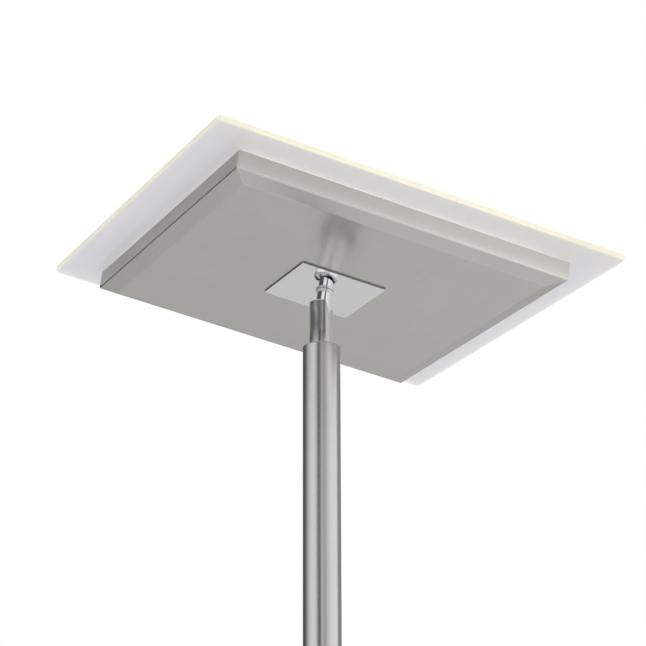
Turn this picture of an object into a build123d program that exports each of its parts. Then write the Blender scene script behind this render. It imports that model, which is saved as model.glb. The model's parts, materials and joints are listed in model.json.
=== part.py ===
# Torchiere floor lamp: square glass head on a ball joint, round pole, square weighted base.
# Millimetres, +Z up along the pole, origin on the floor under the pole's axis.
from build123d import *
from math import asin, cos, degrees, radians, sin, sqrt, tan
import os

os.makedirs("parts", exist_ok=True)

# ---------------------------------------------------------------- driving sizes
# Head, heights counted from the flat underside upwards
head_tilt = 9  # degrees about +Y, so that the +X side hangs lower
tilt_limit = 15  # degrees, from upright
glass_side = 290
glass_thickness = 4
glass_corner = 3
gasket_thickness = 0.5
gasket_width = 3.5
housing_side = 238
housing_sheet = 1.2
housing_rim = 12.7
housing_bevel_in = 10.7
housing_bevel_rise = 4.2
housing_lip = 5
diffuser_thickness = 2
diffuser_edge_gap = 1
reflector_sheet = 0.8
reflector_rise = 4
reflector_slope = 7
carrier_gap = 8  # to the housing's outside, all round
carrier_thickness = 1.5
carrier_opening = 36
board_inset = 11  # from the carrier's edge
board_thickness = 1
standoff_height = 8
standoff_flats = 5.5
standoff_inset = 5  # from the board's edge
screw_depth = 6  # of the carrier screws in their standoffs
chip_length = 3.5
chip_width = 2.8
chip_height = 0.8
chip_count = 8
chip_inset = 16  # from the board's edge
connector_length = 12
connector_width = 9
connector_height = 2.8

# Chrome plate and neck
cover_side = 62
cover_thickness = 1
cover_corner = 1.5
cover_stud_inset = 9
mounting_inset = 1
mounting_thickness = 1.5
neck_diameter = 9.6
neck_shoulder = 0.8  # from the neck's outside in to its thread
neck_wall = 1.6
collar_wall = 1.2
collar_height = 2
neck_length = 8.5  # from the stem's shoulder to the cover plate
lock_washer_width = 3
lock_washer_thickness = 0.6
lock_washer_teeth = 12
neck_nut_wall = 2
neck_nut_height = 3
thread_tail = 0.7

# Ball joint
socket_diameter = 16
socket_wall = 1.3
socket_rise = 0.3  # above the ball's top
socket_edge = 0.7
ball_clearance = 0.2  # radial, to the socket's bore
ball_gap = 0.15  # radial, to the round seats it turns in
lean_gap = 0.3  # from the leaning stem and neck to the socket's lip and mouth
stem_rise = 0.5  # of its shoulder above the ball's top
spigot_length = 7
lead_bore = 3.8
seat_under_ball = 5
seat_top = 1.5
seat_opening = 8
seat_gap = 0.1
spring_room = 7  # height of the stack
spring_count = 6
spring_thickness = 0.5
spring_cone = 0.6
plug_height = 6

# Pole
pole_diameter = 25
pole_wall = 1.2
pole_edge = 0.8
lower_length = 540
middle_length = 540
upper_length = 570
insert_height = 14
insert_recess = 0.2
stud_diameter = 10
stud_bore = 7
stud_length = 24
stud_nut_flats = 14
cap_thickness = 3
nipple_nut_height = 3

# Dimmer
dimmer_diameter = 32
dimmer_wall = 1.5
dimmer_length = 60
dimmer_plug_height = 12
dimmer_face_depth = 0.8
dimmer_face_diameter = 16
pcb_thickness = 1.6
pcb_width = 22
pcb_height = 28
encoder_side = 12
encoder_depth = 6.5
encoder_wall = 1.2
bush_diameter = 7
bush_nut_flats = 10
bush_nut_height = 2
shaft_diameter = 6
shaft_flat = 1.5  # from the shaft's axis
push_travel = 0.6
plunger_thickness = 1.2
knob_diameter = 20
knob_height = 13
knob_front = 4
knob_grooves = 24
knob_groove = 0.4  # radius
knob_chamfer = 1
knob_band = 2.5  # plain band round the knob's front
knob_gap = 1.2

# Base
base_side = 270
base_height = 28
base_sheet = 1.5
base_bevel_in = 12
base_bevel_rise = 5
felt_thickness = 2
felt_inset = 16
cover_lift = 1.5
plate_thickness = 2
plate_edge_gap = 1
weight_gap = 10  # to the cover's outside, all round
weight_underside = 12
weight_thickness = 12
weight_boss = 60
weight_recess = 36
weight_web = 5.5
corner_boss = 16
corner_inset = 20  # from the weight's edge
base_screw = 4
base_nut_height = 5
base_washer_diameter = 30
base_washer_thickness = 1.5
stud_tail = 0.1

# Driver and terminal block in the base
driver_width = 46
driver_length = 124
driver_height = 16
driver_wall = 1.6
driver_split = 10
driver_x = 58
pocket_gap = 3
driver_board_rise = 2
driver_boss_inset = 6
driver_boss = 4
transformer_side = 18
transformer_height = 7
capacitor_diameter = 8
capacitor_height = 7
terminal_x = -55
terminal_y = 60
terminal_width = 20
terminal_depth = 18
terminal_height = 11
wire_diameter = 2
wire_pitch = 7
gland_diameter = 12
gland_flange = 16
gland_bore = 7
gland_length = 8
gland_height = 13.5
gland_nut_flats = 17
gland_nut_height = 3

# Shared
lead_diameter = 2.8
pivot_opening = 1.5  # the lead stops this far each side of the ball's centre
small_screw = 3
small_nut_flats = 5.5
small_nut_height = 2.4
screw_head_height = 1.4
thread_gap = 0.05  # radial
running_gap = 0.05  # radial
hole_gap = 0.2  # radial
nut_chamfer = 0.08  # of the nut's corner radius

# ---------------------------------------------------------------- stations worked out from them
dimmer_bottom = base_height + lower_length + middle_length
dimmer_top = dimmer_bottom + dimmer_length
dimmer_middle = dimmer_bottom + dimmer_length / 2
pole_top = dimmer_top + upper_length
plate_top = felt_thickness + plate_thickness
pole_bore = pole_diameter - 2 * pole_wall
socket_bore = socket_diameter - 2 * socket_wall
ball_radius = socket_bore / 2 - ball_clearance
socket_sphere = ball_radius + ball_gap
seat_bottom = ball_radius + seat_under_ball
socket_above_ball = ball_radius + socket_rise
socket_height = plug_height + spring_room + seat_bottom + socket_above_ball
ball_height = pole_top + socket_height - socket_above_ball
socket_top = ball_height + socket_above_ball
stem_shoulder = ball_radius + stem_rise
cover_above_ball = stem_shoulder + neck_length
neck_thread = neck_diameter - 2 * neck_shoulder
stem_diameter = neck_thread
spigot_diameter = neck_diameter - 2 * neck_wall

tilt = radians(head_tilt)
head_normal = (sin(tilt), 0, cos(tilt))
head_plane = Plane(origin=(0, 0, ball_height), x_dir=(cos(tilt), 0, -sin(tilt)), z_dir=head_normal)
head_axis = Axis((0, 0, ball_height), head_normal)

# Heights along the head's own normal, from the ball's centre
floor_level = cover_above_ball + cover_thickness
floor_inside = floor_level + housing_sheet
rim_level = floor_level + housing_bevel_rise + housing_rim
glass_level = rim_level + gasket_thickness
mounting_level = floor_inside + mounting_thickness
neck_nut_level = mounting_level + lock_washer_thickness
neck_end = neck_nut_level + neck_nut_height + thread_tail
carrier_level = floor_inside + standoff_height
board_level = carrier_level + carrier_thickness
chip_level = board_level + board_thickness
lead_level = chip_level + lead_diameter / 2
diffuser_side = housing_side - 2 * housing_lip - 2 * diffuser_edge_gap
diffuser_level = board_level + reflector_rise
carrier_side = housing_side - 2 * carrier_gap
board_side = carrier_side - 2 * board_inset
standoff_pitch = board_side - 2 * standoff_inset
cover_stud_pitch = cover_side - 2 * cover_stud_inset

# Heights in the base
weight_top = base_height - base_sheet
recess_top = weight_top - weight_web
nut_bottom = recess_top - base_washer_thickness - base_nut_height
stud_bottom = nut_bottom - stud_tail
board_bottom = plate_top + driver_wall + driver_board_rise
lead_height = board_bottom + pcb_thickness / 2
board_near = driver_x - driver_width / 2 + driver_wall + hole_gap


# ---------------------------------------------------------------- shapes that repeat
def tube(plane, length, outer, inner):
    """A straight tube or a flat washer standing on a plane."""
    with BuildPart() as piece:
        with BuildSketch(plane):
            Circle(outer / 2)
            Circle(inner / 2, mode=Mode.SUBTRACT)
        extrude(amount=length)
    return piece


def hex_nut(plane, height, flats, bore):
    """A hexagonal nut, chamfered by the cone that its blank is turned to."""
    corner = flats / sqrt(3)
    with BuildPart() as piece:
        with BuildSketch(plane):
            Circle(corner)
        extrude(amount=height)
        chamfer(piece.edges().filter_by(GeomType.CIRCLE), length=corner * nut_chamfer)
        with BuildSketch(plane):
            RegularPolygon(flats / 2, 6, major_radius=False)
        extrude(amount=height, mode=Mode.INTERSECT)
        with BuildSketch(plane):
            Circle(bore / 2)
        extrude(amount=height, mode=Mode.SUBTRACT)
    return piece


def square_pan(plane, side, bevel_in, bevel_rise, rim, sheet):
    """A square sheet-metal pan with a flat floor, a bevel all round and an upright rim."""
    with BuildPart() as piece:
        with BuildSketch(plane):
            Rectangle(side - 2 * bevel_in, side - 2 * bevel_in)
        with BuildSketch(plane.offset(bevel_rise)):
            Rectangle(side, side)
        loft(ruled=True)
        with BuildSketch(plane.offset(bevel_rise)):
            Rectangle(side, side)
        extrude(amount=rim)
        mouth = piece.faces().sort_by(Axis(plane.origin, plane.z_dir))[-1]
        offset(amount=-sheet, openings=mouth)
    return piece


def lead(points, bends, diameter):
    """A round lead along straight runs joined by tangent arcs."""
    with BuildPart() as piece:
        with BuildLine() as route:
            if bends:
                FilletPolyline(*points, radius=bends)
            else:
                Line(*points)
        with BuildSketch(Plane(origin=route.line @ 0, z_dir=route.line % 0)):
            Circle(diameter / 2)
        sweep()
    return piece


# ---------------------------------------------------------------- glass and its bed
with BuildPart() as glass_plate:
    with BuildSketch(head_plane.offset(glass_level)):
        RectangleRounded(glass_side, glass_side, glass_corner)
    extrude(amount=glass_thickness)
    flat_faces = glass_plate.faces().filter_by(head_plane).sort_by(head_axis)
    chamfer(flat_faces[0].edges() + flat_faces[-1].edges(), length=glass_thickness / 10)
glass_plate.part.label = "glass_plate"
export_step(glass_plate.part, "parts/glass_plate.step")

with BuildPart() as glass_gasket:
    with BuildSketch(head_plane.offset(rim_level)):
        Rectangle(housing_side - 2 * housing_sheet, housing_side - 2 * housing_sheet)
        gasket_inside = housing_side - 2 * housing_sheet - 2 * gasket_width
        Rectangle(gasket_inside, gasket_inside, mode=Mode.SUBTRACT)
    extrude(amount=gasket_thickness)
glass_gasket.part.label = "glass_gasket"
export_step(glass_gasket.part, "parts/glass_gasket.step")

# ---------------------------------------------------------------- head housing
housing_pan = square_pan(
    head_plane.offset(floor_level),
    housing_side,
    housing_bevel_in,
    housing_bevel_rise,
    housing_rim,
    housing_sheet,
)
with BuildPart() as head_housing:
    add(housing_pan.part)
    with BuildSketch(head_plane.offset(rim_level - housing_sheet)):
        Rectangle(housing_side - housing_sheet, housing_side - housing_sheet)
        lip_inside = housing_side - 2 * housing_lip
        Rectangle(lip_inside, lip_inside, mode=Mode.SUBTRACT)
    extrude(amount=housing_sheet)
    with BuildSketch(head_plane.offset(floor_level)):
        Circle(neck_thread / 2 + hole_gap)
        with GridLocations(cover_stud_pitch, cover_stud_pitch, 2, 2):
            Circle(small_screw / 2 + hole_gap)
    extrude(amount=housing_sheet, mode=Mode.SUBTRACT)
head_housing.part.label = "head_housing"
export_step(head_housing.part, "parts/head_housing.step")

# ---------------------------------------------------------------- light source
with BuildPart() as standoffs:
    with BuildSketch(head_plane.offset(floor_inside)):
        with GridLocations(standoff_pitch, standoff_pitch, 2, 2):
            RegularPolygon(standoff_flats / 2, 6, major_radius=False)
            Circle(small_screw / 2, mode=Mode.SUBTRACT)
    extrude(amount=standoff_height)
standoffs.part.label = "standoffs"
export_step(standoffs.part, "parts/standoffs.step")

with BuildPart() as led_carrier:
    with BuildSketch(head_plane.offset(carrier_level)):
        Rectangle(carrier_side, carrier_side)
        Circle(carrier_opening / 2, mode=Mode.SUBTRACT)
        with GridLocations(standoff_pitch, standoff_pitch, 2, 2):
            Circle(small_screw / 2 + hole_gap, mode=Mode.SUBTRACT)
    extrude(amount=carrier_thickness)
led_carrier.part.label = "led_carrier"
export_step(led_carrier.part, "parts/led_carrier.step")

with BuildPart() as led_board:
    with BuildSketch(head_plane.offset(board_level)):
        Rectangle(board_side, board_side)
        Circle(carrier_opening / 2, mode=Mode.SUBTRACT)
        with GridLocations(standoff_pitch, standoff_pitch, 2, 2):
            Circle(small_screw / 2 + hole_gap, mode=Mode.SUBTRACT)
    extrude(amount=board_thickness)
led_board.part.label = "led_board"
export_step(led_board.part, "parts/led_board.step")

with BuildPart() as led_chips:
    with BuildSketch(head_plane.offset(chip_level)):
        chip_pitch = (board_side - 2 * chip_inset) / (chip_count - 1)
        with GridLocations(chip_pitch, chip_pitch, chip_count, chip_count) as grid:
            chip_spots = [
                spot for spot in grid.local_locations
                if spot.position.length > carrier_opening / 2 + chip_length
            ]
        with Locations(*chip_spots):
            Rectangle(chip_length, chip_width)
    extrude(amount=chip_height)
led_chips.part.label = "led_chips"
export_step(led_chips.part, "parts/led_chips.step")

connector_near = carrier_opening / 2 + 1
with BuildPart() as led_connector:
    with BuildSketch(head_plane.offset(chip_level)):
        with Locations((connector_near + connector_length / 2, 0)):
            Rectangle(connector_length, connector_width)
    extrude(amount=connector_height)
led_connector.part.label = "led_connector"
export_step(led_connector.part, "parts/led_connector.step")

with BuildPart() as carrier_screws:
    with BuildSketch(head_plane.offset(chip_level)):
        with GridLocations(standoff_pitch, standoff_pitch, 2, 2):
            Circle(small_nut_flats / 2)
    extrude(amount=screw_head_height)
    with BuildSketch(head_plane.offset(chip_level)):
        with GridLocations(standoff_pitch, standoff_pitch, 2, 2):
            Circle(small_screw / 2 - thread_gap)
    extrude(amount=-(board_thickness + carrier_thickness + screw_depth))
carrier_screws.part.label = "carrier_screws"
export_step(carrier_screws.part, "parts/carrier_screws.step")

reflector_top = diffuser_side - 2 * diffuser_edge_gap
with BuildPart() as reflector:
    with BuildSketch(head_plane.offset(board_level)):
        Rectangle(reflector_top - 2 * reflector_slope, reflector_top - 2 * reflector_slope)
    with BuildSketch(head_plane.offset(diffuser_level)):
        Rectangle(reflector_top, reflector_top)
    loft(ruled=True)
    with BuildSketch(head_plane.offset(diffuser_level - reflector_sheet)):
        Rectangle(diffuser_side, diffuser_side)
    extrude(amount=reflector_sheet)
    with BuildSketch(head_plane.offset(board_level)):
        inside = reflector_top - 2 * reflector_slope - 3 * reflector_sheet
        Rectangle(inside, inside)
    with BuildSketch(head_plane.offset(diffuser_level)):
        inside = reflector_top - 3 * reflector_sheet
        Rectangle(inside, inside)
    loft(ruled=True, mode=Mode.SUBTRACT)
reflector.part.label = "reflector"
export_step(reflector.part, "parts/reflector.step")

with BuildPart() as diffuser:
    with BuildSketch(head_plane.offset(diffuser_level)):
        Rectangle(diffuser_side, diffuser_side)
    extrude(amount=diffuser_thickness)
diffuser.part.label = "diffuser"
export_step(diffuser.part, "parts/diffuser.step")

# ---------------------------------------------------------------- chrome plate, neck and their fasteners
with BuildPart() as cover_plate:
    with BuildSketch(head_plane.offset(cover_above_ball)):
        RectangleRounded(cover_side, cover_side, cover_corner)
        Circle(neck_thread / 2 + thread_gap, mode=Mode.SUBTRACT)
    extrude(amount=cover_thickness)
    with BuildSketch(head_plane.offset(floor_level)):
        with GridLocations(cover_stud_pitch, cover_stud_pitch, 2, 2):
            Circle(small_screw / 2)
    extrude(amount=housing_sheet + mounting_thickness + small_nut_height + thread_tail)
cover_plate.part.label = "cover_plate"
export_step(cover_plate.part, "parts/cover_plate.step")

with BuildPart() as mounting_plate:
    with BuildSketch(head_plane.offset(floor_inside)):
        mounting_side = cover_side - 2 * mounting_inset
        RectangleRounded(mounting_side, mounting_side, cover_corner)
        Circle(neck_thread / 2 + thread_gap, mode=Mode.SUBTRACT)
        with GridLocations(cover_stud_pitch, cover_stud_pitch, 2, 2):
            Circle(small_screw / 2 + hole_gap, mode=Mode.SUBTRACT)
    extrude(amount=mounting_thickness)
mounting_plate.part.label = "mounting_plate"
export_step(mounting_plate.part, "parts/mounting_plate.step")

with BuildPart() as plate_nuts:
    with BuildSketch(head_plane.offset(mounting_level)):
        with GridLocations(cover_stud_pitch, cover_stud_pitch, 2, 2):
            RegularPolygon(small_nut_flats / 2, 6, major_radius=False)
            Circle(small_screw / 2 + thread_gap, mode=Mode.SUBTRACT)
    extrude(amount=small_nut_height)
plate_nuts.part.label = "plate_nuts"
export_step(plate_nuts.part, "parts/plate_nuts.step")

with BuildPart() as neck_tube:
    with BuildSketch(head_plane.offset(stem_shoulder)):
        Circle(neck_diameter / 2)
    extrude(amount=cover_above_ball - stem_shoulder)
    with BuildSketch(head_plane.offset(cover_above_ball)):
        Circle(neck_thread / 2)
    extrude(amount=neck_end - cover_above_ball)
    with BuildSketch(head_plane.offset(stem_shoulder)):
        Circle(lead_bore / 2)
    extrude(amount=neck_end - stem_shoulder, mode=Mode.SUBTRACT)
    with BuildSketch(head_plane.offset(stem_shoulder)):
        Circle(spigot_diameter / 2 + running_gap)
    extrude(amount=spigot_length + 2 * running_gap, mode=Mode.SUBTRACT)
neck_tube.part.label = "neck_tube"
export_step(neck_tube.part, "parts/neck_tube.step")

neck_collar = tube(
    head_plane.offset(cover_above_ball - collar_height),
    collar_height,
    neck_diameter + 2 * collar_wall,
    neck_diameter + 2 * thread_gap,
)
neck_collar.part.label = "neck_collar"
export_step(neck_collar.part, "parts/neck_collar.step")

with BuildPart() as lock_washer:
    with BuildSketch(head_plane.offset(mounting_level)):
        Circle(neck_thread / 2 + lock_washer_width)
        Circle(neck_thread / 2 + hole_gap, mode=Mode.SUBTRACT)
        with PolarLocations(neck_thread / 2 + lock_washer_width, lock_washer_teeth):
            Rectangle(lock_washer_width / 1.5, lock_washer_width / 3, mode=Mode.SUBTRACT)
    extrude(amount=lock_washer_thickness)
lock_washer.part.label = "lock_washer"
export_step(lock_washer.part, "parts/lock_washer.step")

neck_nut = hex_nut(
    head_plane.offset(neck_nut_level),
    neck_nut_height,
    neck_thread + 2 * neck_nut_wall,
    neck_thread + 2 * thread_gap,
)
neck_nut.part.label = "neck_nut"
export_step(neck_nut.part, "parts/neck_nut.step")

head_lead = lead(
    [
        head_plane.from_local_coords((0, 0, pivot_opening)),
        head_plane.from_local_coords((0, 0, lead_level)),
        head_plane.from_local_coords((connector_near, 0, lead_level)),
    ],
    lead_level - neck_end,
    lead_diameter,
)
head_lead.part.label = "head_lead"
export_step(head_lead.part, "parts/head_lead.step")

# ---------------------------------------------------------------- ball joint
with BuildPart() as ball_stem:
    with Locations(head_plane.location):
        Sphere(ball_radius)
    with BuildSketch(head_plane):
        Circle(stem_diameter / 2)
    extrude(amount=stem_shoulder)
    with BuildSketch(head_plane.offset(stem_shoulder)):
        Circle(spigot_diameter / 2)
    extrude(amount=spigot_length)
    with BuildSketch(head_plane.offset(-ball_radius)):
        Circle(lead_bore / 2)
    extrude(amount=ball_radius + stem_shoulder + spigot_length, mode=Mode.SUBTRACT)
    with BuildSketch(head_plane.offset(-ball_radius)):  # flared so that the lead isn't nipped
        Circle(lead_bore / 2 + ball_radius * sin(radians(tilt_limit)))
    with BuildSketch(head_plane.offset(-pivot_opening / 2)):
        Circle(lead_bore / 2)
    loft(mode=Mode.SUBTRACT)
ball_stem.part.label = "ball_stem"
export_step(ball_stem.part, "parts/ball_stem.step")

# The lip holds the ball down and lets the stem lean to the tilt limit
lip_angle = tilt_limit + degrees(asin((stem_diameter / 2 + lean_gap) / socket_sphere))
lip_radius = socket_sphere * sin(radians(lip_angle))
lip_height = socket_sphere * cos(radians(lip_angle))
lean = radians(tilt_limit)
mouth_radius = neck_diameter / 2 / cos(lean) + socket_above_ball * tan(lean) + lean_gap
mouth_height = lip_height + mouth_radius - lip_radius
with BuildPart() as joint_socket:
    with BuildSketch(Plane.XY.offset(pole_top)):
        Circle(socket_diameter / 2)
    extrude(amount=socket_height)
    fillet(joint_socket.edges().group_by(Axis.Z)[-1], radius=socket_edge)
    with Locations((0, 0, ball_height)):
        Sphere(socket_sphere, mode=Mode.SUBTRACT)
    with BuildSketch(Plane.XY.offset(pole_top)):
        Circle(socket_bore / 2)
    extrude(amount=ball_height - pole_top, mode=Mode.SUBTRACT)
    with BuildSketch(Plane.XZ):
        with BuildLine():
            Polyline(
                (0, ball_height),
                (0, socket_top),
                (mouth_radius, socket_top),
                (mouth_radius, ball_height + mouth_height),
                (lip_radius, ball_height + lip_height),
                (lip_radius, ball_height),
                close=True,
            )
        make_face()
    revolve(axis=Axis.Z, mode=Mode.SUBTRACT)
joint_socket.part.label = "joint_socket"
export_step(joint_socket.part, "parts/joint_socket.step")

with BuildPart() as joint_seat:
    with BuildSketch(Plane.XY.offset(ball_height - seat_bottom)):
        Circle(socket_bore / 2 - seat_gap)
        Circle(seat_opening / 2, mode=Mode.SUBTRACT)
    extrude(amount=seat_bottom - seat_top)
    with Locations((0, 0, ball_height)):
        Sphere(socket_sphere, mode=Mode.SUBTRACT)
joint_seat.part.label = "joint_seat"
export_step(joint_seat.part, "parts/joint_seat.step")

spring_floor = pole_top + plug_height
spring_pitch = spring_room / spring_count
with BuildPart() as disc_springs:
    for place in range(spring_count):
        low = spring_floor + place * spring_pitch
        inner_up = spring_cone if place % 2 else 0
        outer_up = spring_cone - inner_up
        with BuildSketch(Plane.XZ):
            with BuildLine():
                Polyline(
                    (seat_opening / 2, low + inner_up),
                    (socket_bore / 2 - hole_gap, low + outer_up),
                    (socket_bore / 2 - hole_gap, low + outer_up + spring_thickness),
                    (seat_opening / 2, low + inner_up + spring_thickness),
                    close=True,
                )
            make_face()
        revolve(axis=Axis.Z)
disc_springs.part.label = "disc_springs"
export_step(disc_springs.part, "parts/disc_springs.step")

joint_plug = tube(
    Plane.XY.offset(pole_top),
    plug_height,
    socket_bore - 2 * thread_gap,
    stud_diameter + 2 * thread_gap,
)
joint_plug.part.label = "joint_plug"
export_step(joint_plug.part, "parts/joint_plug.step")

nipple_bottom = pole_top - cap_thickness - nipple_nut_height - 2 * thread_tail
joint_nipple = tube(
    Plane.XY.offset(nipple_bottom),
    pole_top + plug_height - thread_tail - nipple_bottom,
    stud_diameter,
    stud_bore,
)
joint_nipple.part.label = "joint_nipple"
export_step(joint_nipple.part, "parts/joint_nipple.step")

nipple_nut = hex_nut(
    Plane.XY.offset(pole_top - cap_thickness - nipple_nut_height),
    nipple_nut_height,
    stud_nut_flats,
    stud_diameter + 2 * thread_gap,
)
nipple_nut.part.label = "nipple_nut"
export_step(nipple_nut.part, "parts/nipple_nut.step")

# ---------------------------------------------------------------- pole
pole_cap = tube(
    Plane.XY.offset(pole_top - cap_thickness),
    cap_thickness,
    pole_bore,
    stud_diameter + 2 * thread_gap,
)
pole_cap.part.label = "pole_cap"
export_step(pole_cap.part, "parts/pole_cap.step")

pole_lower = tube(Plane.XY.offset(base_height), lower_length, pole_diameter, pole_bore)
pole_lower.part.label = "pole_lower"
export_step(pole_lower.part, "parts/pole_lower.step")

pole_middle = tube(
    Plane.XY.offset(base_height + lower_length),
    middle_length,
    pole_diameter,
    pole_bore,
)
pole_middle.part.label = "pole_middle"
export_step(pole_middle.part, "parts/pole_middle.step")

with BuildPart() as pole_upper:
    with BuildSketch(Plane.XY.offset(dimmer_top)):
        Circle(pole_diameter / 2)
    extrude(amount=upper_length)
    fillet(pole_upper.edges().group_by(Axis.Z)[-1], radius=pole_edge)
    with BuildSketch(Plane.XY.offset(dimmer_top)):
        Circle(pole_bore / 2)
    extrude(amount=upper_length, mode=Mode.SUBTRACT)
pole_upper.part.label = "pole_upper"
export_step(pole_upper.part, "parts/pole_upper.step")

section_joint = base_height + lower_length
insert_bottoms = [
    base_height + insert_recess,
    section_joint - insert_recess - insert_height,
    section_joint + insert_recess,
    dimmer_bottom - insert_recess - insert_height,
    dimmer_top + insert_recess,
]
with BuildPart() as pole_inserts:
    for bottom in insert_bottoms:
        with BuildSketch(Plane.XY.offset(bottom)):
            Circle(pole_bore / 2)
            Circle(stud_diameter / 2 + thread_gap, mode=Mode.SUBTRACT)
        extrude(amount=insert_height)
pole_inserts.part.label = "pole_inserts"
export_step(pole_inserts.part, "parts/pole_inserts.step")

with BuildPart() as pole_studs:
    for middle in (section_joint, dimmer_bottom, dimmer_top):
        with BuildSketch(Plane.XY.offset(middle - stud_length / 2)):
            Circle(stud_diameter / 2)
            Circle(stud_bore / 2, mode=Mode.SUBTRACT)
        extrude(amount=stud_length)
pole_studs.part.label = "pole_studs"
export_step(pole_studs.part, "parts/pole_studs.step")

# ---------------------------------------------------------------- dimmer, its front towards -Y
# The dimmer's front plane holds the pole's axis, and its offsets count outwards
dimmer_front = Plane(origin=(0, 0, dimmer_middle), x_dir=(1, 0, 0), z_dir=(0, -1, 0))
dimmer_bore = dimmer_diameter - 2 * dimmer_wall
face_out = dimmer_diameter / 2 - dimmer_face_depth
encoder_out = pcb_thickness / 2 + encoder_depth
bush_out = face_out + bush_nut_height + thread_gap
knob_out = bush_out + knob_gap

with BuildPart() as dimmer_housing:
    with BuildSketch(Plane.XY.offset(dimmer_bottom)):
        Circle(dimmer_diameter / 2)
    extrude(amount=dimmer_length)
    fillet(dimmer_housing.edges().filter_by(GeomType.CIRCLE), radius=pole_edge)
    with BuildSketch(Plane.XY.offset(dimmer_bottom)):
        Circle(dimmer_bore / 2)
    extrude(amount=dimmer_length, mode=Mode.SUBTRACT)
    with BuildSketch(dimmer_front.offset(face_out)):
        Circle(dimmer_face_diameter / 2)
    extrude(amount=dimmer_diameter, mode=Mode.SUBTRACT)
    with BuildSketch(dimmer_front):
        Circle(bush_diameter / 2 + thread_gap)
    extrude(amount=dimmer_diameter, mode=Mode.SUBTRACT)
dimmer_housing.part.label = "dimmer_housing"
export_step(dimmer_housing.part, "parts/dimmer_housing.step")

with BuildPart() as dimmer_plugs:
    for bottom in (dimmer_bottom, dimmer_top - dimmer_plug_height):
        with BuildSketch(Plane.XY.offset(bottom)):
            Circle(dimmer_bore / 2)
            Circle(stud_diameter / 2 + thread_gap, mode=Mode.SUBTRACT)
        extrude(amount=dimmer_plug_height)
dimmer_plugs.part.label = "dimmer_plugs"
export_step(dimmer_plugs.part, "parts/dimmer_plugs.step")

with BuildPart() as dimmer_board:
    with BuildSketch(dimmer_front.offset(-pcb_thickness / 2)):
        Rectangle(pcb_width, pcb_height)
    extrude(amount=pcb_thickness)
dimmer_board.part.label = "dimmer_board"
export_step(dimmer_board.part, "parts/dimmer_board.step")

chamber_radius = bush_diameter / 2 + hole_gap
chamber_depth = plunger_thickness + push_travel + hole_gap
with BuildPart() as dimmer_encoder:
    with BuildSketch(dimmer_front.offset(pcb_thickness / 2)):
        Rectangle(encoder_side, encoder_side)
    extrude(amount=encoder_depth)
    with BuildSketch(dimmer_front.offset(encoder_out)):
        Circle(bush_diameter / 2)
    extrude(amount=bush_out - encoder_out)
    with BuildSketch(dimmer_front.offset(pcb_thickness / 2 + encoder_wall)):
        Circle(chamber_radius)
    extrude(amount=chamber_depth, mode=Mode.SUBTRACT)
    with BuildSketch(dimmer_front.offset(pcb_thickness / 2 + encoder_wall)):
        Circle(shaft_diameter / 2 + running_gap)
    extrude(amount=dimmer_diameter, mode=Mode.SUBTRACT)
dimmer_encoder.part.label = "dimmer_encoder"
export_step(dimmer_encoder.part, "parts/dimmer_encoder.step")

plunger_out = pcb_thickness / 2 + encoder_wall + push_travel + hole_gap / 2
with BuildPart() as dimmer_plunger:
    with BuildSketch(dimmer_front.offset(plunger_out)):
        Circle(chamber_radius - running_gap)
    extrude(amount=plunger_thickness)
dimmer_plunger.part.label = "dimmer_plunger"
export_step(dimmer_plunger.part, "parts/dimmer_plunger.step")

shaft_end = knob_out + knob_height - knob_front
with BuildPart() as dimmer_shaft:
    with BuildSketch(dimmer_front.offset(plunger_out + plunger_thickness)):
        Circle(shaft_diameter / 2)
    extrude(amount=shaft_end - plunger_out - plunger_thickness)
    with BuildSketch(dimmer_front.offset(knob_out + bush_nut_height)):  # flat for the knob
        with Locations((0, shaft_flat)):
            Rectangle(shaft_diameter, shaft_diameter, align=(Align.CENTER, Align.MIN))
    extrude(amount=dimmer_diameter, mode=Mode.SUBTRACT)
dimmer_shaft.part.label = "dimmer_shaft"
export_step(dimmer_shaft.part, "parts/dimmer_shaft.step")

with BuildPart() as dimmer_knob:
    with BuildSketch(dimmer_front.offset(knob_out)):
        Circle(knob_diameter / 2)
    extrude(amount=knob_height)
    chamfer(dimmer_knob.edges().group_by(Axis.Y)[0], length=knob_chamfer)
    with BuildSketch(dimmer_front.offset(knob_out)):
        with PolarLocations(knob_diameter / 2, knob_grooves):
            Circle(knob_groove)
    extrude(amount=knob_height - knob_band, mode=Mode.SUBTRACT)
    with BuildSketch(dimmer_front.offset(shaft_end)):  # blind bore for the shaft
        Circle(shaft_diameter / 2)
        with Locations((0, shaft_flat)):
            Rectangle(
                shaft_diameter,
                shaft_diameter,
                align=(Align.CENTER, Align.MIN),
                mode=Mode.SUBTRACT,
            )
    extrude(amount=knob_out + bush_nut_height - shaft_end, mode=Mode.SUBTRACT)
    with BuildSketch(dimmer_front.offset(knob_out)):  # room for the nut
        Circle(bush_nut_flats / sqrt(3) + hole_gap)
    extrude(amount=bush_nut_height, mode=Mode.SUBTRACT)
dimmer_knob.part.label = "dimmer_knob"
export_step(dimmer_knob.part, "parts/dimmer_knob.step")

bush_nut = hex_nut(
    dimmer_front.offset(face_out),
    bush_nut_height,
    bush_nut_flats,
    bush_diameter + 2 * thread_gap,
)
bush_nut.part.label = "bush_nut"
export_step(bush_nut.part, "parts/bush_nut.step")

# ---------------------------------------------------------------- leads inside the pole
lower_lead = lead(
    [
        (board_near, 0, lead_height),
        (0, 0, lead_height),
        (0, 0, dimmer_middle - pcb_height / 2),
    ],
    stud_bottom - lead_height,
    lead_diameter,
)
lower_lead.part.label = "lower_lead"
export_step(lower_lead.part, "parts/lower_lead.step")

upper_lead = lead(
    [(0, 0, dimmer_middle + pcb_height / 2), (0, 0, ball_height - pivot_opening)],
    0,
    lead_diameter,
)
upper_lead.part.label = "upper_lead"
export_step(upper_lead.part, "parts/upper_lead.step")

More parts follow.
